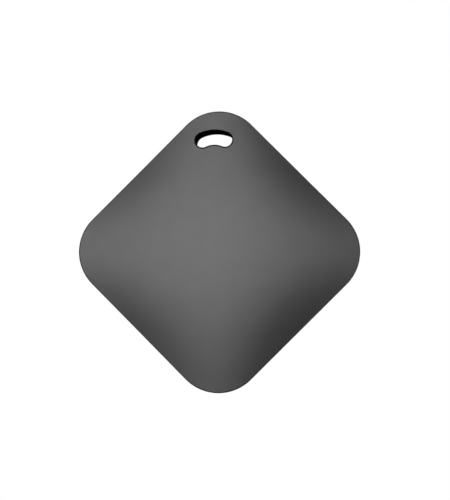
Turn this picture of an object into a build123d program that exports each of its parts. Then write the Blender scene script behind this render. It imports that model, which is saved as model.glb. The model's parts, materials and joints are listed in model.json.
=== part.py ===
from build123d import *
from math import atan2, cos, pi, radians, sin
import os

# Bluetooth tracker tag: a rounded-square puck that hangs from one corner.
# Millimetres. +Z points up through the lanyard slot, the crowned face looks
# along -Y and the flat back along +Y. The origin is the middle of the puck.
# Every height is measured from the flat back toward the face.

# Outer size
SIDE = 42.0
CORNER_RADIUS = 8.56
THICKNESS = 8.0

# Crown of the face: how far it falls below the middle, where u and v run from 0 in
# the middle to 1 at the sides. Each number multiplies a symmetric pair of powers.
FALL_SQUARE = 1.386
FALL_FOURTH = 0.214
FALL_SQUARE_SQUARE = -2.061
FALL_SQUARE_FOURTH = 0.226
FALL_FOURTH_FOURTH = 0.123
CROWN_REACH = 24.0

# Case shells
FLOOR = 1.2
BACK_ROUND = 1.7
HOUSING_TOP = 3.0
PRESS_TRAVEL = 0.25
PRESS_SPARE = 0.1
SHADOW_GAP = PRESS_TRAVEL + PRESS_SPARE
TONGUE_TOP = 5.0
TONGUE_OUTER = 19.6
TONGUE_INNER = 19.0
COVER_BACK = HOUSING_TOP + SHADOW_GAP
COVER_WALL = 1.0
COVER_EDGE_ROUND = 0.25
SKIRT_INNER = 19.8

# Silicone gasket between the shells
GASKET_INNER = 19.65
GASKET_OUTER = 20.3
GASKET_TOP = 3.9
GASKET_SLACK = 0.05

# Snap hooks at the middle of each side, and their windows in the tongue
HOOK_INNER = 18.1
HOOK_OUTER = 18.8
HOOK_TIP = 19.4
HOOK_BOTTOM = 3.75
HOOK_CATCH = 4.35
HOOK_ROOT = 6.1
HOOK_WIDTH = 4.0
WINDOW_WIDTH = 5.0
WINDOW_LOW = 3.3
WINDOW_HIGH = 4.4

# Lanyard slot: a kidney of one large arc, one bump and two end lobes.
# The outline is that of the opening in the cover; the liner sits just inside it.
SLOT_X = -0.87
SLOT_Z = 20.64
SLOT_TILT = 1.6
SLOT_TOP = 2.07
SLOT_BUMP = -1.06
SLOT_LOBE_X = 2.08
SLOT_LOBE_Y = 0.07
SLOT_LOBE_RADIUS = 1.57
LINER_GAP = 0.07
LINER_LIP = 0.2
LINER_WALL = 0.8
LINER_SHOULDER = 5.0
LINER_RECESS = 0.1
LINER_BORE = -LINER_GAP - LINER_LIP
LINER_DRAFT = 0.27

# Battery door with a three-start quick thread
DOOR_RADIUS = 13.05
DOOR_SEAT_RADIUS = 13.2
DOOR_RECESS = 0.05
DOOR_FLANGE_TOP = 1.0
DOOR_SKIRT_OUTER = 11.8
DOOR_SKIRT_INNER = 10.6
DOOR_SKIRT_TOP = 3.3
DOOR_EDGE_ROUND = 0.2
COIN_SLOT_LENGTH = 14.0
COIN_SLOT_WIDTH = 1.7
COIN_SLOT_DEPTH = 0.45
THREAD_STARTS = 3
THREAD_LEAD = 12.0
THREAD_ROOT = 11.5
LUG_RADIUS = 12.5
LUG_HEIGHT = 0.5
LUG_LEVEL = 2.75
LUG_HALF_ANGLE = 8.0
TRACK_RADIUS = 12.6
TRACK_SLACK = 0.08
TRACK_END_SLACK = 1.5
TRACK_RUN_OUT = 37.0
LEDGE_BACK = 1.9
BORE_RADIUS = 11.9
WELL_RADIUS = 13.9
WELL_TOP = 3.6
UNLOCK_ANGLE = 38.0
MARK_RADIUS = 0.5
MARK_DEPTH = 0.15
MARK_REACH = 14.6
DOOR_MARK_REACH = 11.6
SEAL_ROUND = 0.25
SEAL_SLACK = 0.03

# CR2032 coin cell
CELL_RADIUS = 10.0
CELL_HEIGHT = 3.2
CELL_BACK = 1.2
CELL_TOP = CELL_BACK + CELL_HEIGHT
CELL_WALL = 0.25
CRIMP_INNER = 9.3
CRIMP_LOW = 3.95
CRIMP_TOP = 4.15
CAP_FLANGE = 9.35
CAP_RADIUS = 8.9
CAP_SHOULDER = 3.9
CAP_BOTTOM = 1.8
GROMMET_FOOT = 8.7
PELLET_RADIUS = 8.6
PELLET_TOP = 2.85
SEPARATOR_RADIUS = 9.05
SEPARATOR_TOP = 2.95
LITHIUM_RADIUS = 8.5
PAD_RADIUS = 9.4

# Circuit board
BOARD_HALF = 17.6
BOARD_CORNER = 5.5
BOARD_BACK = 4.75
BOARD_FRONT = 5.35
BOARD_SLOT_CUT = 17.3
SCREW_REACH = 17.0
SCREW_RADIUS = 0.7
SCREW_LENGTH = 2.6
SCREW_HEAD_RADIUS = 1.2
SCREW_HEAD_HEIGHT = 0.3
SCREW_DRIVE_RADIUS = 0.45
BOSS_RADIUS = 1.6
BOSS_BORE = 0.7
BOSS_BORE_FLOOR = 2.0
BOARD_HOLE = 0.8
SCREW_SPOTS = [(-SCREW_REACH, 0), (SCREW_REACH, 0), (0, -SCREW_REACH)]

# Components: middle (x, z), and width, length and height
BLE_CHIP_SPOT = (0, 14.2)
BLE_CHIP = (5.0, 5.0, 0.85)
RTC_CRYSTAL_SPOT = (5.2, 14.2)
RTC_CRYSTAL = (1.5, 3.2, 0.75)
ANTENNA_SPOT = (0, -20.1)
ANTENNA = (3.2, 1.6, 0.6)
MAIN_CRYSTAL_SPOT = (4.5, -4.0)
MAIN_CRYSTAL = (2.0, 1.6, 0.45)
INDUCTOR_SPOTS = [(-9.0, 10.5), (9.0, 10.5)]
INDUCTOR = (1.6, 0.8, 0.5)
CAPACITOR = (1.0, 0.5, 0.35)
CAPACITORS_ABOVE = (2.0, 5.0)
CAPACITORS_LEFT = (-11.5, -5.5)
RESISTOR = (1.0, 0.5, 0.3)
RESISTORS_ABOVE = (-6.0, 5.0)
RESISTORS_RIGHT = (11.5, -5.5)
COMPONENT_PITCH_X = 1.8
COMPONENT_PITCH_Z = 1.5

# Press switch under the lower half of the cover
SWITCH_DROP = 12.0
PAD_PLATING = 0.03
DOME_RADIUS = 2.5
DOME_RISE = 0.28
DOME_METAL = 0.06
FILM_GAUGE = 0.05
FILM_RADIUS = 3.5
FILM_SKIRT = 0.3
FILM_DIP = 0.02
FILM_SLACK = 0.01
RING_PAD_OUTER = 2.7
RING_PAD_INNER = 2.1
CENTRE_PAD_RADIUS = 0.6
NUB_RADIUS = 1.0
NUB_BOTTOM = 5.95
NUB_ROOT = 6.9
PRESS_PAD_RADIUS = 1.3

# Piezo sounder on the inside of the cover
PIEZO_RADIUS = 10.0
PIEZO_SEAT_INNER = 8.6
PIEZO_SEAT_OUTER = 10.2
PIEZO_SEAT = 6.65
PIEZO_SEAT_ROOT = 7.2
PIEZO_GLUE = 0.08
PIEZO_BRASS = 0.2
PIEZO_CERAMIC_RADIUS = 7.0
PIEZO_CERAMIC = 0.17
PIEZO_BACK = PIEZO_SEAT - PIEZO_GLUE - PIEZO_BRASS
CERAMIC_BACK = PIEZO_BACK - PIEZO_CERAMIC

# Film between the board and the cell
INSULATOR_OUTER = 9.9
INSULATOR_INNER = 5.0

# Spring contacts
LEAF = 0.12
LEAF_WIDTH = 1.2
CONTACT_SLACK = 0.01
NEGATIVE_FOOT = -4.0
NEGATIVE_BEND = -1.5
NEGATIVE_TOUCH = 3.2
NEGATIVE_TIP = 4.0
NEGATIVE_TIP_LIFT = 0.06
POSITIVE_FOOT = 2.4
POSITIVE_REACH = 3.45
C_SPRING_LENGTH = 2.3
CENTRE_SPRING_SPOT = (-4.5, -1.0)
RIM_SPRING_SPOT = (7.3, 0.0)

SQUARE = Plane(origin=(0, 0, 0), x_dir=(1, 0, 1), z_dir=(0, -1, 0))

os.makedirs("parts", exist_ok=True)


def level(height, plane=Plane.XZ):
    """Plane parallel to the back, at a height above it."""
    return plane.offset(height - THICKNESS / 2)


def section(x=0.0, z=0.0, angle=0.0):
    """Plane square to the back through (x, z): its x runs outward, its y is the height."""
    turn = radians(angle)
    return Plane(
        origin=(x, THICKNESS / 2, z),
        x_dir=(cos(turn), 0, sin(turn)),
        z_dir=(sin(turn), 0, -cos(turn)),
    )


def slot_plane(height):
    """Plane parallel to the back with its origin in the middle of the lanyard slot."""
    tilt = radians(SLOT_TILT)
    return Plane(
        origin=(SLOT_X, THICKNESS / 2 - height, SLOT_Z),
        x_dir=(cos(tilt), 0, sin(tilt)),
        z_dir=(0, -1, 0),
    )


def square_slab(half_side, low, high, mode=Mode.ADD):
    """Rounded-square prism whose corners share their centres with the case."""
    with BuildSketch(level(low, SQUARE)) as outline:
        RectangleRounded(2 * half_side, 2 * half_side, CORNER_RADIUS - SIDE / 2 + half_side)
    extrude(outline.sketch, amount=high - low, mode=mode)


def disc(radius, low, high, mode=Mode.ADD, centre=(0, 0)):
    """Round slab between two heights."""
    with BuildSketch(level(low)) as outline:
        with Locations(centre):
            Circle(radius)
    extrude(outline.sketch, amount=high - low, mode=mode)


def ring(outer, inner, low, high):
    """Flat ring between two heights."""
    with BuildSketch(level(low)) as outline:
        Circle(outer)
        Circle(inner, mode=Mode.SUBTRACT)
    extrude(outline.sketch, amount=high - low)


def turned(points, x=0.0, z=0.0):
    """Solid turned about an axis square to the back, from (radius, height) corners."""
    with BuildSketch(section(x, z)) as profile:
        with BuildLine():
            Polyline(points, close=True)
        make_face()
    revolve(profile.sketch, axis=Axis((x, 0, z), (0, 1, 0)))


def slot_outline(grow, height):
    """Kidney outline at a height, grown outward by grow.

    The top arc and the bump both touch the end lobes, which sets their radii.
    """
    lobe = SLOT_LOBE_RADIUS
    rise = SLOT_LOBE_Y - SLOT_TOP
    drop = SLOT_LOBE_Y - SLOT_BUMP
    top_radius = (lobe**2 - SLOT_LOBE_X**2 - rise**2) / (2 * (rise + lobe))
    bump_radius = (lobe**2 - SLOT_LOBE_X**2 - drop**2) / (2 * (drop - lobe))
    to_top = atan2(rise + top_radius, SLOT_LOBE_X)
    to_bump = atan2(drop + bump_radius, SLOT_LOBE_X) - pi
    lobe_points = [
        (SLOT_LOBE_X + (lobe + grow) * cos(turn), SLOT_LOBE_Y + (lobe + grow) * sin(turn))
        for turn in (to_top, (to_top + to_bump) / 2, to_bump)
    ]
    left_points = [(-x, y) for x, y in reversed(lobe_points)]
    with BuildSketch(slot_plane(height)) as outline:
        with BuildLine():
            ThreePointArc(*lobe_points)
            ThreePointArc(lobe_points[-1], (0, SLOT_BUMP - grow), left_points[0])
            ThreePointArc(*left_points)
            ThreePointArc(left_points[-1], (0, SLOT_TOP + grow), lobe_points[0])
        make_face()
    return outline.sketch


def slot_prism(grow, low, high, mode=Mode.ADD):
    """Prism of the kidney outline between two heights."""
    extrude(slot_outline(grow, low), amount=high - low, mode=mode)


def crown_face(drop):
    """Crowned surface of the face, sunk by drop: an exact fourth-degree Bezier patch."""
    span = CROWN_REACH / (SIDE / 2)
    square = [span**2 * control for control in (1, 0, -1 / 3, 0, 1)]
    fourth = [span**4 * control for control in (1, -1, 1, -1, 1)]
    steps = [CROWN_REACH * step for step in (-1, -0.5, 0, 0.5, 1)]
    top = level(THICKNESS - drop, SQUARE)
    net = []
    for x, square_x, fourth_x in zip(steps, square, fourth):
        row = []
        for y, square_y, fourth_y in zip(steps, square, fourth):
            fall = FALL_SQUARE * (square_x + square_y)
            fall += FALL_FOURTH * (fourth_x + fourth_y)
            fall += FALL_SQUARE_SQUARE * square_x * square_y
            fall += FALL_SQUARE_FOURTH * (square_x * fourth_y + fourth_x * square_y)
            fall += FALL_FOURTH_FOURTH * fourth_x * fourth_y
            row.append(top.from_local_coords(Vector(x, y, -fall)))
        net.append(row)
    return Face.make_bezier_surface(net)


def keep_behind_crown(drop):
    """Trim the part in progress to what lies behind the sunk crowned surface."""
    extrude(crown_face(drop), amount=2 * THICKNESS, dir=(0, 1, 0), mode=Mode.INTERSECT)


def thread_rib(outer, height, first, last):
    """Rib that climbs the door thread from angle first to angle last, past the lug level at 0."""
    mean = (THREAD_ROOT + outer) / 2
    low = LUG_LEVEL + THREAD_LEAD * first / 360
    with BuildPart() as rib:
        with BuildLine() as climb:
            Helix(THREAD_LEAD, THREAD_LEAD * (last - first) / 360, mean)
        start = climb.line @ 0
        with BuildSketch(Plane(origin=start, x_dir=(start.X, start.Y, 0), z_dir=climb.line % 0)):
            Rectangle(outer - THREAD_ROOT, height)
        sweep(path=climb.line, is_frenet=True)
    turn = radians(first)
    foot = Plane(origin=(0, THICKNESS / 2 - low, 0), x_dir=(cos(turn), 0, sin(turn)), z_dir=(0, -1, 0))
    return foot.location * rib.part


def save(piece, name):
    """Label one piece and write its STEP file."""
    piece.label = name
    export_step(piece, f"parts/{name}.step")


def components(name, spots, size, back=BOARD_FRONT):
    """Identical rectangular components, each of a width, length and height, on the board."""
    width, length, height = size
    with BuildPart() as group:
        with BuildSketch(level(back)):
            with Locations(spots):
                Rectangle(width, length)
        extrude(amount=height)
    save(group.part, name)


def grid(centre, columns, rows):
    """Centres of a small grid of components."""
    left = centre[0] - COMPONENT_PITCH_X * (columns - 1) / 2
    low = centre[1] - COMPONENT_PITCH_Z * (rows - 1) / 2
    return [
        (left + COMPONENT_PITCH_X * column, low + COMPONENT_PITCH_Z * row)
        for column in range(columns)
        for row in range(rows)
    ]


# Thread lugs of the door and the tracks that they run in
lug = thread_rib(LUG_RADIUS, LUG_HEIGHT, -LUG_HALF_ANGLE, LUG_HALF_ANGLE)
track = thread_rib(
    TRACK_RADIUS,
    LUG_HEIGHT + 2 * TRACK_SLACK,
    -LUG_HALF_ANGLE - TRACK_RUN_OUT,
    LUG_HALF_ANGLE + TRACK_END_SLACK,
)

# Rear housing: floor, rounded back edge, tongue, battery well, screw bosses and the
# two marks that the door's own mark points to when locked and when free
with BuildPart() as rear_housing:
    square_slab(SIDE / 2, 0, HOUSING_TOP)
    fillet(rear_housing.faces().sort_by(Axis.Y)[-1].edges(), BACK_ROUND)
    square_slab(TONGUE_OUTER, HOUSING_TOP, TONGUE_TOP)
    square_slab(TONGUE_INNER, FLOOR, TONGUE_TOP, mode=Mode.SUBTRACT)
    for side in range(4):
        with BuildSketch(section(angle=45 + 90 * side)):
            with Locations(((TONGUE_INNER + TONGUE_OUTER) / 2, (WINDOW_LOW + WINDOW_HIGH) / 2)):
                Rectangle(2 * (TONGUE_OUTER - TONGUE_INNER), WINDOW_HIGH - WINDOW_LOW)
        extrude(amount=WINDOW_WIDTH / 2, both=True, mode=Mode.SUBTRACT)
    disc(WELL_RADIUS, FLOOR, WELL_TOP)
    disc(DOOR_SEAT_RADIUS, 0, DOOR_FLANGE_TOP + DOOR_RECESS, mode=Mode.SUBTRACT)
    disc(TRACK_RADIUS, 0, LEDGE_BACK, mode=Mode.SUBTRACT)
    disc(BORE_RADIUS, 0, WELL_TOP, mode=Mode.SUBTRACT)
    for start in range(THREAD_STARTS):
        add(track.rotate(Axis.Y, 360 / THREAD_STARTS * start), mode=Mode.SUBTRACT)
    for spot in SCREW_SPOTS:
        disc(BOSS_RADIUS, FLOOR, BOARD_BACK, centre=spot)
        disc(BOSS_BORE, BOSS_BORE_FLOOR, BOARD_BACK, mode=Mode.SUBTRACT, centre=spot)
    slot_prism(LINER_BORE + LINER_WALL, 0, HOUSING_TOP, mode=Mode.SUBTRACT)
    for angle in (0, UNLOCK_ANGLE):
        mark = (MARK_REACH * sin(radians(angle)), MARK_REACH * cos(radians(angle)))
        disc(MARK_RADIUS, 0, MARK_DEPTH, mode=Mode.SUBTRACT, centre=mark)
save(rear_housing.part, "rear_housing")

# Slot liner: sleeve with a thin lip that ends flush with the crowned face, and with
# a bore that widens toward the back
bore_back = slot_outline(LINER_BORE + LINER_DRAFT, 0)
bore_front = slot_outline(LINER_BORE, THICKNESS)

with BuildPart() as slot_liner:
    slot_prism(LINER_BORE + LINER_WALL, LINER_RECESS, LINER_SHOULDER)
    slot_prism(LINER_BORE + LINER_LIP, LINER_SHOULDER, THICKNESS)
    loft([bore_back, bore_front], ruled=True, mode=Mode.SUBTRACT)
    keep_behind_crown(0)
save(slot_liner.part, "slot_liner")

# Gasket between the two shells
with BuildPart() as cover_gasket:
    square_slab(GASKET_OUTER, HOUSING_TOP, GASKET_TOP)
    square_slab(GASKET_INNER, HOUSING_TOP, GASKET_TOP, mode=Mode.SUBTRACT)
save(cover_gasket.part, "cover_gasket")

# Front cover: crowned shell with snap hooks, the sounder seat and the switch nub
with BuildPart() as inside:
    square_slab(SKIRT_INNER, COVER_BACK, THICKNESS)
    keep_behind_crown(COVER_WALL)

with BuildPart() as front_cover:
    square_slab(SIDE / 2, COVER_BACK, THICKNESS)
    keep_behind_crown(0)
    fillet(front_cover.faces().sort_by(Axis.Y)[0].edges(), COVER_EDGE_ROUND)
    add(inside.part, mode=Mode.SUBTRACT)
    square_slab(GASKET_OUTER + GASKET_SLACK, COVER_BACK, GASKET_TOP + GASKET_SLACK, mode=Mode.SUBTRACT)
    ring(PIEZO_SEAT_OUTER, PIEZO_SEAT_INNER, PIEZO_SEAT, PIEZO_SEAT_ROOT)
    disc(NUB_RADIUS, NUB_BOTTOM, NUB_ROOT, centre=(0, -SWITCH_DROP))
    for side in range(4):
        with BuildSketch(section(angle=45 + 90 * side)):
            with BuildLine():
                Polyline(
                    (HOOK_INNER, HOOK_ROOT),
                    (HOOK_OUTER, HOOK_ROOT),
                    (HOOK_OUTER, HOOK_CATCH),
                    (HOOK_TIP, HOOK_CATCH),
                    (HOOK_TIP, (HOOK_CATCH + HOOK_BOTTOM) / 2),
                    (HOOK_OUTER, HOOK_BOTTOM),
                    (HOOK_INNER, HOOK_BOTTOM),
                    close=True,
                )
            make_face()
        extrude(amount=HOOK_WIDTH / 2, both=True)
    slot_prism(0, COVER_BACK, THICKNESS, mode=Mode.SUBTRACT)
save(front_cover.part, "front_cover")

# Piezo sounder: glue ring, brass plate and ceramic disc
with BuildPart() as piezo_adhesive:
    ring(PIEZO_RADIUS, PIEZO_SEAT_INNER, PIEZO_SEAT - PIEZO_GLUE, PIEZO_SEAT)
save(piezo_adhesive.part, "piezo_adhesive")

with BuildPart() as piezo_plate:
    disc(PIEZO_RADIUS, PIEZO_BACK, PIEZO_SEAT - PIEZO_GLUE)
save(piezo_plate.part, "piezo_plate")

with BuildPart() as piezo_ceramic:
    disc(PIEZO_CERAMIC_RADIUS, CERAMIC_BACK, PIEZO_BACK)
save(piezo_ceramic.part, "piezo_ceramic")

# Press switch: plated pads, metal snap dome, retaining film and rubber press pad
dome_foot = BOARD_FRONT + PAD_PLATING
dome_top = dome_foot + DOME_RISE
film_top = dome_top + FILM_GAUGE
dome_fall = DOME_RISE - DOME_METAL
dome_arc = (DOME_RADIUS**2 + dome_fall**2) / (2 * dome_fall)
film_foot = BOARD_FRONT + PAD_PLATING
skirt_radius = DOME_RADIUS + FILM_SKIRT

with BuildPart() as dome_pads:
    with BuildSketch(level(BOARD_FRONT)):
        with Locations((0, -SWITCH_DROP)):
            Circle(RING_PAD_OUTER)
            Circle(RING_PAD_INNER, mode=Mode.SUBTRACT)
            Circle(CENTRE_PAD_RADIUS)
    extrude(amount=PAD_PLATING)
save(dome_pads.part, "dome_pads")

with BuildPart() as snap_dome:
    with BuildSketch(section(0, -SWITCH_DROP)):
        with BuildLine():
            RadiusArc((0, dome_top), (DOME_RADIUS, dome_foot + DOME_METAL), dome_arc)
            Line((DOME_RADIUS, dome_foot + DOME_METAL), (DOME_RADIUS, dome_foot))
            RadiusArc((DOME_RADIUS, dome_foot), (0, dome_top - DOME_METAL), -dome_arc)
            Line((0, dome_top - DOME_METAL), (0, dome_top))
        make_face()
    revolve(axis=Axis((0, 0, -SWITCH_DROP), (0, 1, 0)))
save(snap_dome.part, "snap_dome")

with BuildPart() as dome_film:
    turned(
        [
            (0, film_top),
            (DOME_RADIUS / 2, film_top - FILM_DIP),
            (skirt_radius, film_foot + 2 * FILM_GAUGE),
            (FILM_RADIUS, film_foot + FILM_GAUGE),
            (FILM_RADIUS, film_foot),
            (skirt_radius, film_foot + FILM_GAUGE),
            (DOME_RADIUS / 2, dome_top + FILM_SLACK),
            (0, dome_top + FILM_SLACK),
        ],
        z=-SWITCH_DROP,
    )
save(dome_film.part, "dome_film")

with BuildPart() as press_pad:
    disc(PRESS_PAD_RADIUS, film_top + CONTACT_SLACK, NUB_BOTTOM, centre=(0, -SWITCH_DROP))
save(press_pad.part, "press_pad")

# Circuit board with screw holes, cut back below the lanyard slot
with BuildPart() as main_board:
    with BuildSketch(level(BOARD_BACK, SQUARE)):
        RectangleRounded(2 * BOARD_HALF, 2 * BOARD_HALF, BOARD_CORNER)
    extrude(amount=BOARD_FRONT - BOARD_BACK)
    split(bisect_by=Plane.XY.offset(BOARD_SLOT_CUT), keep=Keep.BOTTOM)
    for spot in SCREW_SPOTS:
        disc(BOARD_HOLE, BOARD_BACK, BOARD_FRONT, mode=Mode.SUBTRACT, centre=spot)
save(main_board.part, "main_board")

with BuildPart() as board_screws:
    for spot in SCREW_SPOTS:
        disc(SCREW_RADIUS, BOARD_FRONT - SCREW_LENGTH, BOARD_FRONT, centre=spot)
        disc(SCREW_HEAD_RADIUS, BOARD_FRONT, BOARD_FRONT + SCREW_HEAD_HEIGHT, centre=spot)
        with BuildSketch(level(BOARD_FRONT + SCREW_HEAD_HEIGHT / 3)) as drive:
            with Locations(spot):
                RegularPolygon(SCREW_DRIVE_RADIUS, 6)
        extrude(amount=SCREW_HEAD_HEIGHT, mode=Mode.SUBTRACT)
save(board_screws.part, "board_screws")

# Components on the face of the board stay under 0.5 tall, taller ones sit on its back
components("ble_chip", [BLE_CHIP_SPOT], BLE_CHIP, BOARD_BACK - BLE_CHIP[2])
components("rtc_crystal", [RTC_CRYSTAL_SPOT], RTC_CRYSTAL, BOARD_BACK - RTC_CRYSTAL[2])
components("chip_antenna", [ANTENNA_SPOT], ANTENNA, BOARD_BACK - ANTENNA[2])
components("main_crystal", [MAIN_CRYSTAL_SPOT], MAIN_CRYSTAL)
components("inductors", INDUCTOR_SPOTS, INDUCTOR)
components("capacitors", grid(CAPACITORS_ABOVE, 5, 2) + grid(CAPACITORS_LEFT, 2, 2), CAPACITOR)
components("resistors", grid(RESISTORS_ABOVE, 2, 3) + grid(RESISTORS_RIGHT, 2, 2), RESISTOR)

# Film under the board that keeps the cell from touching it
with BuildPart() as insulator_film:
    ring(INSULATOR_OUTER, INSULATOR_INNER, BOARD_BACK - FILM_GAUGE, BOARD_BACK)
save(insulator_film.part, "insulator_film")

# Sloping leaf on the back of the board that touches the cell cap
with BuildPart() as negative_contact:
    with BuildSketch(section()):
        with BuildLine():
            Polyline(
                (NEGATIVE_FOOT, BOARD_BACK),
                (NEGATIVE_BEND, BOARD_BACK),
                (NEGATIVE_TOUCH, CELL_TOP + LEAF + CONTACT_SLACK),
                (NEGATIVE_TIP, CELL_TOP + LEAF + NEGATIVE_TIP_LIFT),
                (NEGATIVE_TIP, CELL_TOP + NEGATIVE_TIP_LIFT),
                (NEGATIVE_TOUCH, CELL_TOP + CONTACT_SLACK),
                (NEGATIVE_BEND, BOARD_BACK - LEAF),
                (NEGATIVE_FOOT, BOARD_BACK - LEAF),
                close=True,
            )
        make_face()
    extrude(amount=LEAF_WIDTH, both=True)
save(negative_contact.part, "negative_contact")

# Bent tabs on the back of the board that press on the side of the cell can
with BuildPart() as positive_contacts:
    tab = CELL_RADIUS + 2 * CONTACT_SLACK
    for angle in (0, 180):
        with BuildSketch(section(angle=angle)):
            with BuildLine():
                Polyline(
                    (tab, BOARD_BACK),
                    (tab + POSITIVE_FOOT, BOARD_BACK),
                    (tab + POSITIVE_FOOT, BOARD_BACK - LEAF),
                    (tab + LEAF, BOARD_BACK - LEAF),
                    (tab + LEAF, POSITIVE_REACH),
                    (tab, POSITIVE_REACH),
                    close=True,
                )
            make_face()
        extrude(amount=LEAF_WIDTH, both=True)
save(positive_contacts.part, "positive_contacts")


def c_spring(name, spot, top):
    """C-shaped contact spring between the face of the board and the sounder."""
    with BuildPart() as spring:
        with BuildSketch(section(*spot)):
            with BuildLine():
                Polyline(
                    (0, BOARD_FRONT),
                    (C_SPRING_LENGTH, BOARD_FRONT),
                    (C_SPRING_LENGTH, BOARD_FRONT + LEAF),
                    (LEAF, BOARD_FRONT + LEAF),
                    (LEAF, top - LEAF),
                    (C_SPRING_LENGTH, top - LEAF),
                    (C_SPRING_LENGTH, top),
                    (0, top),
                    close=True,
                )
            make_face()
        extrude(amount=LEAF_WIDTH / 2, both=True)
    save(spring.part, name)


c_spring("piezo_spring_centre", CENTRE_SPRING_SPOT, CERAMIC_BACK - CONTACT_SLACK)
c_spring("piezo_spring_rim", RIM_SPRING_SPOT, PIEZO_BACK - CONTACT_SLACK)

# Battery door: recessed disc with a coin slot, a skirt and three thread lugs
with BuildPart() as battery_door:
    disc(DOOR_RADIUS, DOOR_RECESS, DOOR_FLANGE_TOP)
    fillet(battery_door.faces().sort_by(Axis.Y)[-1].edges(), DOOR_EDGE_ROUND)
    with BuildSketch(level(DOOR_RECESS)):
        SlotOverall(COIN_SLOT_LENGTH, COIN_SLOT_WIDTH)
    extrude(amount=COIN_SLOT_DEPTH, mode=Mode.SUBTRACT)
    disc(MARK_RADIUS, DOOR_RECESS, DOOR_RECESS + MARK_DEPTH, Mode.SUBTRACT, (0, DOOR_MARK_REACH))
    ring(DOOR_SKIRT_OUTER, DOOR_SKIRT_INNER, DOOR_FLANGE_TOP, DOOR_SKIRT_TOP)
    for start in range(THREAD_STARTS):
        add(lug.rotate(Axis.Y, 360 / THREAD_STARTS * start))
save(battery_door.part, "battery_door")

with BuildPart() as door_pad:
    disc(PAD_RADIUS, DOOR_FLANGE_TOP, CELL_BACK)
save(door_pad.part, "door_pad")

with BuildPart() as door_seal:
    ring(
        TRACK_RADIUS - SEAL_SLACK,
        DOOR_SKIRT_OUTER + SEAL_SLACK,
        DOOR_FLANGE_TOP + SEAL_SLACK,
        LEDGE_BACK - SEAL_SLACK,
    )
    fillet(door_seal.edges(), SEAL_ROUND)
save(door_seal.part, "door_seal")

# Coin cell: crimped can, grommet, cap and the three layers between them
with BuildPart() as cell_can:
    disc(CELL_RADIUS, CELL_BACK, CRIMP_TOP)
    fillet(cell_can.faces().sort_by(Axis.Y)[-1].edges(), CELL_WALL)
    disc(CELL_RADIUS - CELL_WALL, CELL_BACK + CELL_WALL, CRIMP_LOW, mode=Mode.SUBTRACT)
    disc(CRIMP_INNER, CRIMP_LOW, CRIMP_TOP, mode=Mode.SUBTRACT)
save(cell_can.part, "cell_can")

with BuildPart() as cell_gasket:
    turned(
        [
            (GROMMET_FOOT, CELL_BACK + CELL_WALL),
            (CELL_RADIUS - CELL_WALL, CELL_BACK + CELL_WALL),
            (CELL_RADIUS - CELL_WALL, CRIMP_LOW),
            (CRIMP_INNER, CRIMP_LOW),
            (CRIMP_INNER, CRIMP_TOP),
            (CAP_RADIUS, CRIMP_TOP),
            (CAP_RADIUS, CAP_SHOULDER),
            (CAP_FLANGE, CAP_SHOULDER),
            (CAP_FLANGE, CAP_BOTTOM),
            (GROMMET_FOOT, CAP_BOTTOM),
        ]
    )
save(cell_gasket.part, "cell_gasket")

with BuildPart() as cell_cap:
    turned(
        [
            (0, CELL_TOP),
            (CAP_RADIUS - CELL_WALL, CELL_TOP),
            (CAP_RADIUS, CELL_TOP - CELL_WALL),
            (CAP_RADIUS, CAP_SHOULDER),
            (CAP_FLANGE, CAP_SHOULDER),
            (CAP_FLANGE, CAP_BOTTOM),
            (CAP_FLANGE - CELL_WALL, CAP_BOTTOM),
            (CAP_FLANGE - CELL_WALL, CAP_SHOULDER - CELL_WALL),
            (CAP_RADIUS - CELL_WALL, CAP_SHOULDER - CELL_WALL),
            (CAP_RADIUS - CELL_WALL, CELL_TOP - CELL_WALL),
            (0, CELL_TOP - CELL_WALL),
        ]
    )
save(cell_cap.part, "cell_cap")

with BuildPart() as cell_cathode:
    disc(PELLET_RADIUS, CELL_BACK + CELL_WALL, PELLET_TOP)
save(cell_cathode.part, "cell_cathode")

with BuildPart() as cell_separator:
    disc(SEPARATOR_RADIUS, PELLET_TOP, SEPARATOR_TOP)
save(cell_separator.part, "cell_separator")

with BuildPart() as cell_anode:
    disc(LITHIUM_RADIUS, SEPARATOR_TOP, CELL_TOP - CELL_WALL)
save(cell_anode.part, "cell_anode")
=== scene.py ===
import json
import math

import bmesh
import bpy
from mathutils import Matrix, Vector


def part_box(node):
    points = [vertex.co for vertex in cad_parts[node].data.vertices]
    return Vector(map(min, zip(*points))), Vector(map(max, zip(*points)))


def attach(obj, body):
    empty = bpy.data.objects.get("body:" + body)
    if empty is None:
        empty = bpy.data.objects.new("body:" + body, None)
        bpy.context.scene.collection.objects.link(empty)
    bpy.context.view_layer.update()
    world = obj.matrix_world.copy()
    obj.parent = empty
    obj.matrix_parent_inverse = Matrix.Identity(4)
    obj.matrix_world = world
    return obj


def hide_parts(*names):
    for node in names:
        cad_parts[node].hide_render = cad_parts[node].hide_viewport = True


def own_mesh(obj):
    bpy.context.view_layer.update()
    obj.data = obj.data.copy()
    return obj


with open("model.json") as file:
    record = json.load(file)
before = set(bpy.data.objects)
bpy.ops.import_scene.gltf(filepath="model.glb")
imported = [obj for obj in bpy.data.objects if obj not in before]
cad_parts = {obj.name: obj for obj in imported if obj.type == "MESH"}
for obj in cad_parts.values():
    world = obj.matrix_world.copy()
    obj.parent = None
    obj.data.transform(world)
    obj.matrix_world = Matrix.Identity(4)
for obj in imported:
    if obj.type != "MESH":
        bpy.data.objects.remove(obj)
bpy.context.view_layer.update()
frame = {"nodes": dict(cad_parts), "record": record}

MM = 0.001

# Camera: a little to the right of the face's normal and a little below it.
# Angles in degrees, distances in metres and the lens in its own millimetres.
CAMERA_AZIMUTH = 4.01
CAMERA_ELEVATION = -1.92
CAMERA_DISTANCE = 0.1978
CAMERA_CLIP_START = 0.01
CAMERA_LENS = 75.9
CAMERA_ROLL = 0.12
AIM_RIGHT = 1.07 * MM
AIM_UP = 0.39 * MM

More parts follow.
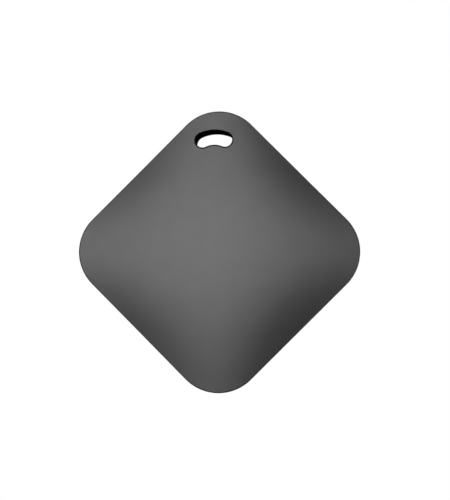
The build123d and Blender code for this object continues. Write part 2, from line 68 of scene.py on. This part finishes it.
# Lights: azimuth and elevation in degrees, then distance, width and power in metres and watts.
# The key is a broad softbox behind the camera, a little to the upper left.
LIGHTS = {
    "key": (-7.6, 4.8, 0.9, 0.633, 4.8),
    "fill_left": (-45, -18, 0.9, 0.6, 0.7),
    "fill_right": (47, -18, 0.9, 0.6, 1.0),
    "back_key": (172, 10, 0.9, 0.6, 4.0),
    "back_left": (222, 35, 0.8, 0.9, 7.0),
    "back_right": (128, 15, 0.8, 0.9, 4.0),
    "top": (180, 78, 0.8, 0.8, 3.0),
}

# Strength of the room: dark in front of the face, brighter towards the sides and the back.
# The limits are on the direction's Y, which is -1 straight out of the face.
ROOM_FRONT = 0.006
ROOM_SIDES = 0.5
FRONT_LIMIT = -0.9
SIDES_LIMIT = -0.4

FLOOR_RADIUS = 0.4
FLOOR_DROP = 0.2

# Colour and finish of the two shells and the door
SHELL_TONE = 0.02
SHELL_COLOUR = (SHELL_TONE, SHELL_TONE, SHELL_TONE * 1.01)
SHELL_ROUGHNESS = 0.305
DOOR_ROUGHNESS = 0.42

# Angle between faces above which an edge is shaded crisp, and above which it is rolled
CRISP_ANGLE = math.radians(35)
ROLLED_ANGLE = math.radians(40)

# Points of a CAD mesh nearer than this are one point
WELD = 0.001 * MM

# Edge rounding of the pieces that give way as the cover is pressed
YIELDING = {
    "cover_gasket": 0.12 * MM,
    "snap_dome": 0.01 * MM,
    "dome_film": 0.01 * MM,
    "piezo_spring_centre": 0.025 * MM,
    "piezo_spring_rim": 0.025 * MM,
}

# Solder joints: share of the foot that is lost at the top, and how round the corners are
MOUND_TAPER = 0.45
MOUND_ROUNDNESS = 0.5

# Tinned ends of the small components, and their solder
TERMINAL = 0.24 * MM
TERMINAL_PROUD = 0.012 * MM
TERMINAL_ROUNDING = 0.03 * MM
SOLDER_REACH = 0.3 * MM
SOLDER_SIDE = 0.06 * MM
SOLDER_HEIGHT = 0.14 * MM

# Lands on the back of the board: those along a side of the chip are counted and spaced by
# CHIP_PITCH, and every land is given by its half size
CHIP_LANDS_PER_SIDE = 8
CHIP_PITCH = 0.5 * MM
CHIP_LAND_X = Vector((0.22, 0, 0.12)) * MM
CHIP_LAND_Z = Vector((0.12, 0, 0.22)) * MM
CHIP_LAND_HEIGHT = 0.03 * MM
END_LAND_X = Vector((0.35, 0, 0.7)) * MM
END_LAND_Z = Vector((0.6, 0, 0.35)) * MM
END_LAND_HEIGHT = 0.12 * MM

# Test points and tracks on the ring of board that shows when the door is out, angles in degrees
POINT_ANGLES = (22, 38, 54, 112, 128, 205, 222, 300, 318, 336)
POINT_RING = 10.75 * MM
POINT_RADIUS = 0.42 * MM
POINT_HEIGHT = 0.02 * MM
TRACK_KNEE = 11.35 * MM
TRACK_RING = 12.4 * MM
TRACK_TURN = (4, 12)
TRACK_WIDTH = 0.16 * MM
TRACK_HEIGHT = 0.015 * MM
BUS_RING = 11.75 * MM
BUS_ARCS = ((12, 66), (100, 140), (195, 240), (288, 350))
BUS_WIDTH = 0.12 * MM

# Solder at the feet of the cell's contacts: two bent tabs and a sloping leaf
TAB_FOOT = 1.5 * MM
TAB_MARGIN = 0.2 * MM
LEAF_FOOT = 1.6 * MM
LEAF_MARGIN = 0.3 * MM
SIDE_MARGIN = 0.25 * MM
FOOT_HEIGHT = 0.16 * MM


def direction(azimuth, elevation):
    """Unit vector from the object, with azimuth 0 straight out of the face."""
    a, e = math.radians(azimuth), math.radians(elevation)
    return Vector((math.sin(a) * math.cos(e), -math.cos(a) * math.cos(e), math.sin(e)))


def aim(obj, target, roll=0.0):
    """Turn a camera or light so that it looks at a point, upright apart from its roll."""
    look = (target - obj.location).to_track_quat("-Z", "Y").to_matrix()
    obj.rotation_euler = (look @ Matrix.Rotation(math.radians(roll), 3, "Z")).to_euler()


def make_camera():
    """Camera just off the face's normal, with its aim shifted so that the tag sits in frame."""
    data = bpy.data.cameras.new("camera")
    data.lens = CAMERA_LENS
    data.clip_start = CAMERA_CLIP_START
    camera = bpy.data.objects.new("camera", data)
    bpy.context.scene.collection.objects.link(camera)
    out = direction(CAMERA_AZIMUTH, CAMERA_ELEVATION)
    right = Vector((0, 0, 1)).cross(out).normalized()
    up = out.cross(right)
    camera.location = out * CAMERA_DISTANCE
    aim(camera, right * AIM_RIGHT + up * AIM_UP, CAMERA_ROLL)
    bpy.context.scene.camera = camera


def make_light(name, azimuth, elevation, distance, size, power):
    """Round softbox that faces the object and isn't seen itself."""
    data = bpy.data.lights.new(name, "AREA")
    data.shape = "DISK"
    data.size = size
    data.energy = power
    light = bpy.data.objects.new(name, data)
    light.visible_camera = False
    bpy.context.scene.collection.objects.link(light)
    light.location = direction(azimuth, elevation) * distance
    aim(light, Vector((0, 0, 0)))


class Nodes:
    """A material's node tree, with short calls for what every material here uses."""

    def __init__(self, name):
        self.material = bpy.data.materials.new(name)
        self.material.use_nodes = True
        self.tree = self.material.node_tree
        self.shader = self.tree.nodes["Principled BSDF"]
        self.place = self.tree.nodes.new("ShaderNodeTexCoord").outputs["Object"]

    def link(self, source, target):
        """Join an output to an input."""
        self.tree.links.new(source, target)

    def set(self, **values):
        """Set the shader's plain numbers."""
        for name, value in values.items():
            self.shader.inputs[name.replace("_", " ")].default_value = value

    def noise(self, size_mm, detail=3.0, stretch=(1, 1, 1), place=None):
        """Noise whose grains are about size_mm across."""
        mapping = self.tree.nodes.new("ShaderNodeMapping")
        mapping.inputs["Scale"].default_value = stretch
        self.link(place or self.place, mapping.inputs["Vector"])
        noise = self.tree.nodes.new("ShaderNodeTexNoise")
        noise.inputs["Scale"].default_value = 1 / (size_mm * MM)
        noise.inputs["Detail"].default_value = detail
        self.link(mapping.outputs["Vector"], noise.inputs["Vector"])
        return noise.outputs["Fac"]

    def cells(self, size_mm):
        """Distance to the middle of the nearest of many small cells."""
        voronoi = self.tree.nodes.new("ShaderNodeTexVoronoi")
        voronoi.inputs["Scale"].default_value = 1 / (size_mm * MM)
        self.link(self.place, voronoi.inputs["Vector"])
        return voronoi.outputs["Distance"]

    def rings(self):
        """Distance from the Y axis, for lines turned about it."""
        flat = self.vector("MULTIPLY", self.place, (1, 0, 1))
        return self.vector("LENGTH", flat)

    def vector(self, operation, first, second=None):
        """Vector arithmetic on an output and a tuple or another output."""
        node = self.tree.nodes.new("ShaderNodeVectorMath")
        node.operation = operation
        self.link(first, node.inputs[0])
        if isinstance(second, tuple):
            node.inputs[1].default_value = second
        elif second:
            self.link(second, node.inputs[1])
        return node.outputs["Value" if operation in ("LENGTH", "DOT_PRODUCT") else "Vector"]

    def ramp(self, value, low, high, start=0.3, end=0.7):
        """Map a value onto a range of numbers."""
        node = self.tree.nodes.new("ShaderNodeMapRange")
        node.inputs["From Min"].default_value = start
        node.inputs["From Max"].default_value = end
        node.inputs["To Min"].default_value = low
        node.inputs["To Max"].default_value = high
        self.link(value, node.inputs["Value"])
        return node.outputs["Result"]

    def times(self, first, second):
        """Product of two outputs."""
        node = self.tree.nodes.new("ShaderNodeMath")
        node.operation = "MULTIPLY"
        self.link(first, node.inputs[0])
        self.link(second, node.inputs[1])
        return node.outputs["Value"]

    def mix(self, factor, first, second):
        """Blend two colours, each a tuple or another node's output."""
        node = self.tree.nodes.new("ShaderNodeMix")
        node.data_type = "RGBA"
        self.link(factor, node.inputs["Factor"])
        for socket, colour in ((node.inputs["A"], first), (node.inputs["B"], second)):
            if isinstance(colour, tuple):
                socket.default_value = (*colour, 1)
            else:
                self.link(colour, socket)
        return node.outputs["Result"]

    def bump(self, height, distance_mm, normal=None):
        """Relief from a height, on top of another relief where one is given."""
        node = self.tree.nodes.new("ShaderNodeBump")
        node.inputs["Distance"].default_value = distance_mm * MM
        self.link(height, node.inputs["Height"])
        if normal:
            self.link(normal, node.inputs["Normal"])
        return node.outputs["Normal"]

    def edges(self, radius_mm):
        """1 along edges and 0 on open faces."""
        bevel = self.tree.nodes.new("ShaderNodeBevel")
        bevel.inputs["Radius"].default_value = radius_mm * MM
        bevel.samples = 4
        geometry = self.tree.nodes.new("ShaderNodeNewGeometry")
        along = self.vector("DOT_PRODUCT", bevel.outputs["Normal"], geometry.outputs["Normal"])
        return self.ramp(along, 1.0, 0.0, 0.8, 0.99)


def shade(colour, factor):
    """Lighter or darker colour, kept within white."""
    return tuple(min(1.0, c * factor) for c in colour)


def plastic(name, colour, roughness, grain_mm=0.12, depth_mm=0.0008, edge_highlight_and_wear=1.3, specular=0.5):
    """Moulded plastic: fine spark-eroded grain, faint mottling, and edges painted lighter as a highlight
    that also stands for polish from handling.
    """
    n = Nodes(name)
    n.set(Specular_IOR_Level=specular)
    mottled = n.mix(n.ramp(n.noise(6.0, 2.0), 0, 1), shade(colour, 0.93), colour)
    pigment = n.mix(n.ramp(n.noise(0.3, 2.0), 0, 0.5), mottled, shade(colour, 1.08))
    # Lighter colour along the edges: a painted edge highlight that also stands for handling wear.
    edge_highlight_and_wear_mask = n.times(n.edges(0.12), n.ramp(n.noise(2.5, 3.0), 0.3, 1))
    n.link(n.mix(edge_highlight_and_wear_mask, pigment, shade(colour, edge_highlight_and_wear)), n.shader.inputs["Base Color"])
    n.link(n.ramp(n.noise(2.0, 3.0), roughness * 0.96, roughness * 1.04), n.shader.inputs["Roughness"])
    flow = n.bump(n.noise(1.6, 1.0), depth_mm)
    n.link(n.bump(n.noise(grain_mm, 2.0), depth_mm, flow), n.shader.inputs["Normal"])
    return n.material


def metal(name, colour, roughness, stretch=(1, 1, 12), grain_mm=0.4):
    """Rolled metal: fine lines, dull patches and a few darker specks."""
    n = Nodes(name)
    n.set(Metallic=1.0)
    lines = n.noise(grain_mm, 4.0, stretch)
    lined = n.mix(n.ramp(lines, 0, 1), shade(colour, 0.82), colour)
    specks = n.ramp(n.noise(0.5, 4.0), 0, 1, 0.66, 0.74)
    n.link(n.mix(specks, lined, shade(colour, 0.6)), n.shader.inputs["Base Color"])
    n.link(n.ramp(n.noise(3.0, 3.0), roughness * 0.8, roughness * 1.3), n.shader.inputs["Roughness"])
    n.link(n.bump(lines, 0.0015), n.shader.inputs["Normal"])
    return n.material


def stippled_steel():
    """Nickel-plated can of the coin cell: turned lines under a fine satin stipple."""
    n = Nodes("nickel_steel")
    n.set(Metallic=1.0)
    turned = n.noise(0.25, 3.0, place=n.rings())
    tone = n.mix(n.ramp(turned, 0, 1), (0.64, 0.64, 0.63), (0.74, 0.74, 0.72))
    handled = n.mix(n.ramp(n.noise(2.0, 4.0), 0, 0.6), tone, (0.66, 0.64, 0.6))
    n.link(handled, n.shader.inputs["Base Color"])
    n.link(n.ramp(n.noise(1.5, 2.0), 0.37, 0.42), n.shader.inputs["Roughness"])
    n.link(n.bump(n.noise(0.1, 2.0), 0.0008, n.bump(turned, 0.001)), n.shader.inputs["Normal"])
    return n.material


def solder_mask():
    """Green mask over copper: lighter lands show through, with a fine weave of glass."""
    n = Nodes("solder_mask")
    copper = n.ramp(n.noise(2.2, 0.0), 0, 1, 0.5, 0.53)
    weave = n.ramp(n.noise(0.3, 2.0, (1, 1, 4)), 0, 0.5)
    bare = n.mix(weave, (0.006, 0.045, 0.022), (0.012, 0.065, 0.032))
    n.link(n.mix(copper, bare, (0.014, 0.085, 0.038)), n.shader.inputs["Base Color"])
    n.link(n.ramp(n.noise(0.7, 3.0), 0.25, 0.38), n.shader.inputs["Roughness"])
    n.link(n.bump(n.noise(0.2, 2.0), 0.001, n.bump(copper, 0.008)), n.shader.inputs["Normal"])
    return n.material


def foam():
    """Closed-cell foam: small open bubbles on the cut face, with painted shade darkening the hollow middle
    of each.
    """
    n = Nodes("closed_cell_foam")
    n.set(Specular_IOR_Level=0.2)
    bubbles = n.cells(0.22)
    # Darker towards the middle of each bubble: painted shade in the bubble hollows.
    tone = n.mix(n.ramp(bubbles, 0, 1, 0, 0.5), (0.012, 0.012, 0.013), (0.05, 0.05, 0.052))
    n.link(tone, n.shader.inputs["Base Color"])
    n.link(n.ramp(n.noise(1.0, 3.0), 0.8, 0.95), n.shader.inputs["Roughness"])
    n.link(n.bump(bubbles, 0.05), n.shader.inputs["Normal"])
    return n.material


def film():
    """Amber polyimide film: glossy, a little uneven and crossed by fine handling marks."""
    n = Nodes("polyimide_film")
    n.set(Coat_Weight=0.3)
    tone = n.mix(n.ramp(n.noise(3.0, 2.0), 0, 1), (0.36, 0.13, 0.015), (0.5, 0.21, 0.03))
    marked = n.mix(n.ramp(n.noise(0.2, 3.0, (6, 1, 1)), 0, 0.3), tone, (0.62, 0.3, 0.06))
    n.link(marked, n.shader.inputs["Base Color"])
    n.link(n.ramp(n.noise(1.0, 3.0), 0.2, 0.35), n.shader.inputs["Roughness"])
    n.link(n.bump(n.noise(1.5, 2.0), 0.004), n.shader.inputs["Normal"])
    return n.material


MATERIALS = {
    "shell": plastic("charcoal_satin", SHELL_COLOUR, SHELL_ROUGHNESS),
    "door": plastic("door_satin", SHELL_COLOUR, DOOR_ROUGHNESS, grain_mm=0.16, depth_mm=0.003),
    "liner": plastic("liner_black", (0.004, 0.004, 0.004), 0.8, edge_highlight_and_wear=1.5, specular=0),
    "silicone": plastic("black_silicone", (0.012, 0.012, 0.013), 0.62, grain_mm=0.05, specular=0.3),
    "board": solder_mask(),
    "black_epoxy": plastic("moulded_epoxy", (0.018, 0.018, 0.019), 0.55, grain_mm=0.06, depth_mm=0.004),
    "ceramic": plastic(
        "fired_ceramic", (0.42, 0.36, 0.27), 0.5, grain_mm=0.05, depth_mm=0.002, edge_highlight_and_wear=1.2
    ),
    "silvered_ceramic": metal(
        "silvered_ceramic", (0.72, 0.71, 0.69), 0.42, stretch=(1, 1, 1), grain_mm=0.2
    ),
    "brass": metal("rolled_brass", (0.75, 0.55, 0.24), 0.3),
    "gold": metal("gold_plate", (0.85, 0.62, 0.28), 0.25, stretch=(1, 1, 3)),
    "steel": stippled_steel(),
    "film": film(),
    "foam": foam(),
    "grommet": plastic(
        "natural_polypropylene", (0.55, 0.55, 0.5), 0.4, grain_mm=0.1, depth_mm=0.002, edge_highlight_and_wear=1.1
    ),
    "cathode": plastic(
        "pressed_powder", (0.015, 0.015, 0.016), 0.85, grain_mm=0.05, depth_mm=0.01, edge_highlight_and_wear=1.4, specular=0.3
    ),
    "separator": plastic(
        "non_woven", (0.65, 0.65, 0.6), 0.85, grain_mm=0.1, depth_mm=0.01, edge_highlight_and_wear=1.1, specular=0.3
    ),
    "lithium": metal("rolled_lithium", (0.6, 0.6, 0.63), 0.45),
    "glue": plastic("cured_adhesive", (0.5, 0.46, 0.36), 0.35, grain_mm=0.4, depth_mm=0.006, edge_highlight_and_wear=1.1),
}

SLOTS = {part["node"]: part["material_slot"] for part in frame["record"]["subparts"]}
for name, slot in SLOTS.items():
    materials = frame["nodes"][name].data.materials
    materials.clear()
    materials.append(MATERIALS[slot])


def link_piece(name, bm, body, slot):
    """Turn a bmesh into a smooth piece that rides on a body and takes a slot's material."""
    bmesh.ops.recalc_face_normals(bm, faces=bm.faces)
    mesh = bpy.data.meshes.new(name)
    bm.to_mesh(mesh)
    bm.free()
    mesh.shade_smooth()
    mesh.set_sharp_from_angle(angle=CRISP_ANGLE)
    piece = bpy.data.objects.new(name, mesh)
    bpy.context.scene.collection.objects.link(piece)
    mesh.materials.append(MATERIALS[slot])
    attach(piece, body)
    return piece


def welded(name):
    """A CAD node's mesh with its faces joined along their edges."""
    bm = bmesh.new()
    bm.from_mesh(frame["nodes"][name].data)
    bmesh.ops.remove_doubles(bm, verts=bm.verts, dist=WELD)
    return bm


def yielding(name, rounding):
    """Soft or springy piece in a CAD node's place, rolled at its edges and riding on the housing;
    in the tag itself it gives way as the cover is pressed."""
    bm = welded(name)
    rolled = [edge for edge in bm.edges if edge.calc_face_angle(0) > ROLLED_ANGLE]
    bmesh.ops.bevel(
        bm, geom=rolled, offset=rounding, segments=3, profile=0.5, affect="EDGES", clamp_overlap=True
    )
    piece = link_piece(name + "_yielding", bm, "housing", SLOTS[name])
    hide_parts(name)
    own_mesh(piece)


def islands(name):
    """Lowest and highest corners of each separate component in a CAD node."""
    bm = welded(name)
    left = set(bm.verts)
    boxes = []
    while left:
        front = [left.pop()]
        found = []
        while front:
            vert = front.pop()
            found.append(vert.co.copy())
            for edge in vert.link_edges:
                other = edge.other_vert(vert)
                if other in left:
                    left.remove(other)
                    front.append(other)
        low = Vector(min(p[i] for p in found) for i in range(3))
        high = Vector(max(p[i] for p in found) for i in range(3))
        boxes.append((low, high))
    bm.free()
    return sorted(boxes, key=lambda box: tuple(box[0]))


def rounded_box(bm, low, high, rounding):
    """Box with rolled edges between two corners."""
    scale = Matrix.Diagonal((*(high - low), 1))
    cube = bmesh.ops.create_cube(bm, size=1, matrix=Matrix.Translation((low + high) / 2) @ scale)
    edges = list({edge for vert in cube["verts"] for edge in vert.link_edges})
    bmesh.ops.bevel(bm, geom=edges, offset=rounding, segments=3, profile=0.5, affect="EDGES")


def mound(bm, low, high, outward, height, steps=6, corner=8):
    """Soldered joint: a rounded rectangle that shrinks in a hollow curve as it rises."""
    middle = (low + high) / 2
    half = (high - low) / 2
    rings = []
    for step in range(steps + 1):
        t = step / steps
        keep = 1 - MOUND_TAPER * math.sin(t * math.pi / 2)
        loop = []
        for i in range(4 * corner):
            turn = 2 * math.pi * i / (4 * corner)
            x = math.copysign(abs(math.cos(turn)) ** MOUND_ROUNDNESS, math.cos(turn)) * half.x * keep
            z = math.copysign(abs(math.sin(turn)) ** MOUND_ROUNDNESS, math.sin(turn)) * half.z * keep
            lift = height * (1 - math.cos(t * math.pi / 2)) * outward
            loop.append(bm.verts.new((middle.x + x, low.y + lift, middle.z + z)))
        rings.append(loop)
    for lower, upper in zip(rings, rings[1:]):
        for i in range(len(lower)):
            j = (i + 1) % len(lower)
            bm.faces.new((lower[i], lower[j], upper[j], upper[i]))
    bm.faces.new(rings[-1])


def disc_pad(bm, x, z, radius, foot, rise, sides=24):
    """Plated test point: a thin disc with a rolled rim on the back of the board."""
    rims = []
    for keep, lift in ((1.0, 0.0), (1.0, 0.5), (0.93, 1.0), (0.2, 1.0)):
        loop = []
        for i in range(sides):
            turn = 2 * math.pi * i / sides
            across = x + math.cos(turn) * radius * keep
            upward = z + math.sin(turn) * radius * keep
            loop.append(bm.verts.new((across, foot + rise * lift, upward)))
        rims.append(loop)
    for lower, upper in zip(rims, rims[1:]):
        for i in range(sides):
            j = (i + 1) % sides
            bm.faces.new((lower[i], lower[j], upper[j], upper[i]))
    bm.faces.new(rims[-1])


def track(bm, points, width, foot, rise):
    """Copper track under the mask: a low ridge with sloping sides along a line."""
    rows = []
    for i, here in enumerate(points):
        ahead = points[min(i + 1, len(points) - 1)]
        behind = points[max(i - 1, 0)]
        along = Vector((ahead[0] - behind[0], ahead[1] - behind[1])).normalized()
        side = Vector((-along.y, along.x))
        row = []
        for reach, lift in ((-0.5, 0), (-0.35, 1), (0.35, 1), (0.5, 0)):
            place = Vector(here) + side * width * reach
            row.append(bm.verts.new((place.x, foot + rise * lift, place.y)))
        rows.append(row)
    for first, second in zip(rows, rows[1:]):
        for i in range(3):
            bm.faces.new((first[i], first[i + 1], second[i + 1], second[i]))


def on_board(radius, angle):
    """Point at a distance and an angle in degrees from the middle of the board."""
    turn = math.radians(angle)
    return radius * math.cos(turn), radius * math.sin(turn)


def around(radius, start, end, step=3):
    """Points about step degrees apart on an arc about the middle of the board."""
    spans = max(1, round(abs(end - start) / step))
    return [on_board(radius, start + (end - start) * i / spans) for i in range(spans + 1)]


def component_ends():
    """Tinned ends of the small components and their solder on the face of the board."""
    ends = bmesh.new()
    solder = bmesh.new()
    proud = TERMINAL_PROUD
    for name in ("capacitors", "resistors", "inductors"):
        for low, high in islands(name):
            for left, right in ((low.x, low.x + TERMINAL), (high.x - TERMINAL, high.x)):
                near = Vector((left - proud, low.y - proud, low.z - proud))
                far = Vector((right + proud, high.y, high.z + proud))
                rounded_box(ends, near, far, TERMINAL_ROUNDING)
                outer = left - SOLDER_REACH if left == low.x else right + SOLDER_REACH
                near = Vector((min(outer, left), BOARD_FACE, low.z - SOLDER_SIDE))
                far = Vector((max(outer, right), BOARD_FACE, high.z + SOLDER_SIDE))
                mound(solder, near, far, -1, SOLDER_HEIGHT)
    link_piece("component_terminals", ends, "housing", "silvered_ceramic")
    link_piece("component_solder", solder, "housing", "silvered_ceramic")


def chip_lands():
    """Lands of the radio chip, the clock crystal and the aerial on the back of the board."""
    lands = bmesh.new()
    low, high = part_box("ble_chip")
    middle = (low + high) / 2
    edge = (high.x - low.x) / 2
    for i in range(CHIP_LANDS_PER_SIDE):
        shift = (i - (CHIP_LANDS_PER_SIDE - 1) / 2) * CHIP_PITCH
        for sign in (-1, 1):
            for x, z, half in ((shift, sign * edge, CHIP_LAND_Z), (sign * edge, shift, CHIP_LAND_X)):
                centre = Vector((middle.x + x, BOARD_BACK, middle.z + z))
                mound(lands, centre - half, centre + half, 1, CHIP_LAND_HEIGHT)
    for name in ("rtc_crystal", "chip_antenna"):
        low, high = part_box(name)
        size = high - low
        along_x = size.x > size.z
        half = END_LAND_X if along_x else END_LAND_Z
        for sign in (-1, 1):
            centre = (low + high) / 2
            centre.y = BOARD_BACK
            centre += Vector((sign * size.x / 2, 0, 0) if along_x else (0, 0, sign * size.z / 2))
            mound(lands, centre - half, centre + half, 1, END_LAND_HEIGHT)
    link_piece("chip_lands", lands, "housing", "silvered_ceramic")


def test_points():
    """Gold test points in a ring on the back of the board."""
    points = bmesh.new()
    for angle in POINT_ANGLES:
        x, z = on_board(POINT_RING, angle)
        disc_pad(points, x, z, POINT_RADIUS, BOARD_BACK, POINT_HEIGHT)
    link_piece("test_points", points, "housing", "gold")


def board_tracks():
    """Tracks out of the test points, and four longer ones between them and the edge."""
    tracks = bmesh.new()
    first, last = TRACK_TURN
    for angle in POINT_ANGLES:
        route = [on_board(POINT_RING, angle), on_board(TRACK_KNEE, angle)]
        route += around(TRACK_RING, angle + first, angle + last)
        track(tracks, route, TRACK_WIDTH, BOARD_BACK, TRACK_HEIGHT)
    for start, end in BUS_ARCS:
        track(tracks, around(BUS_RING, start, end), BUS_WIDTH, BOARD_BACK, TRACK_HEIGHT)
    link_piece("board_tracks", tracks, "housing", "board")


def contact_solder():
    """Solder around the feet of the cell's contacts on the back of the board."""
    joints = bmesh.new()
    for low, high in islands("positive_contacts"):
        outer = high.x if high.x > 0 else low.x
        inner = outer - math.copysign(TAB_FOOT, outer)
        near = Vector((min(inner, outer) - TAB_MARGIN, BOARD_BACK, low.z - SIDE_MARGIN))
        far = Vector((max(inner, outer) + TAB_MARGIN, BOARD_BACK, high.z + SIDE_MARGIN))
        mound(joints, near, far, 1, FOOT_HEIGHT)
    low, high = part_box("negative_contact")
    near = Vector((low.x - LEAF_MARGIN, BOARD_BACK, low.z - SIDE_MARGIN))
    far = Vector((low.x + LEAF_FOOT, BOARD_BACK, high.z + SIDE_MARGIN))
    mound(joints, near, far, 1, FOOT_HEIGHT)
    link_piece("contact_solder", joints, "housing", "silvered_ceramic")


def make_world():
    """Pale surroundings for the camera; the tag reflects a room that is dark behind the
    softbox and brighter to the sides and back."""
    world = bpy.data.worlds.new("studio")
    world.use_nodes = True
    tree = world.node_tree
    seen = tree.nodes["Background"]
    seen.inputs["Color"].default_value = (1, 1, 1, 1)
    around_it = tree.nodes.new("ShaderNodeBackground")
    toward = tree.nodes.new("ShaderNodeSeparateXYZ")
    tree.links.new(tree.nodes.new("ShaderNodeTexCoord").outputs["Generated"], toward.inputs["Vector"])
    bright = tree.nodes.new("ShaderNodeMapRange")
    bright.interpolation_type = "SMOOTHSTEP"
    bright.inputs["From Min"].default_value = FRONT_LIMIT
    bright.inputs["From Max"].default_value = SIDES_LIMIT
    bright.inputs["To Min"].default_value = ROOM_FRONT
    bright.inputs["To Max"].default_value = ROOM_SIDES
    tree.links.new(toward.outputs["Y"], bright.inputs["Value"])
    tree.links.new(bright.outputs["Result"], around_it.inputs["Strength"])
    path = tree.nodes.new("ShaderNodeLightPath")
    mix = tree.nodes.new("ShaderNodeMixShader")
    tree.links.new(path.outputs["Is Camera Ray"], mix.inputs["Fac"])
    tree.links.new(around_it.outputs["Background"], mix.inputs[1])
    tree.links.new(seen.outputs["Background"], mix.inputs[2])
    tree.links.new(mix.outputs["Shader"], tree.nodes["World Output"].inputs["Surface"])
    bpy.context.scene.world = world


def make_floor():
    """Pale floor below the tag, which adds no light of its own to it."""
    bm = bmesh.new()
    below = Matrix.Translation((0, 0, -FLOOR_DROP))
    bmesh.ops.create_circle(bm, cap_ends=True, segments=128, radius=FLOOR_RADIUS, matrix=below)
    mesh = bpy.data.meshes.new("floor")
    bm.to_mesh(mesh)
    bm.free()
    n = Nodes("pale_floor")
    tone = n.mix(n.ramp(n.noise(4, 3), 0, 1), (0.87, 0.87, 0.87), (0.89, 0.89, 0.89))
    n.link(tone, n.shader.inputs["Base Color"])
    n.set(Roughness=0.8)
    mesh.materials.append(n.material)
    floor = bpy.data.objects.new("floor", mesh)
    bpy.context.scene.collection.objects.link(floor)
    floor.visible_diffuse = False
    floor.visible_glossy = False


board_low, board_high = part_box("main_board")
BOARD_FACE = board_low.y
BOARD_BACK = board_high.y

component_ends()
chip_lands()
test_points()
board_tracks()
contact_solder()
for name, rounding in YIELDING.items():
    yielding(name, rounding)

make_camera()
for name, settings in LIGHTS.items():
    make_light(name, *settings)
make_world()
make_floor()
bpy.context.scene.view_settings.view_transform = "Standard"
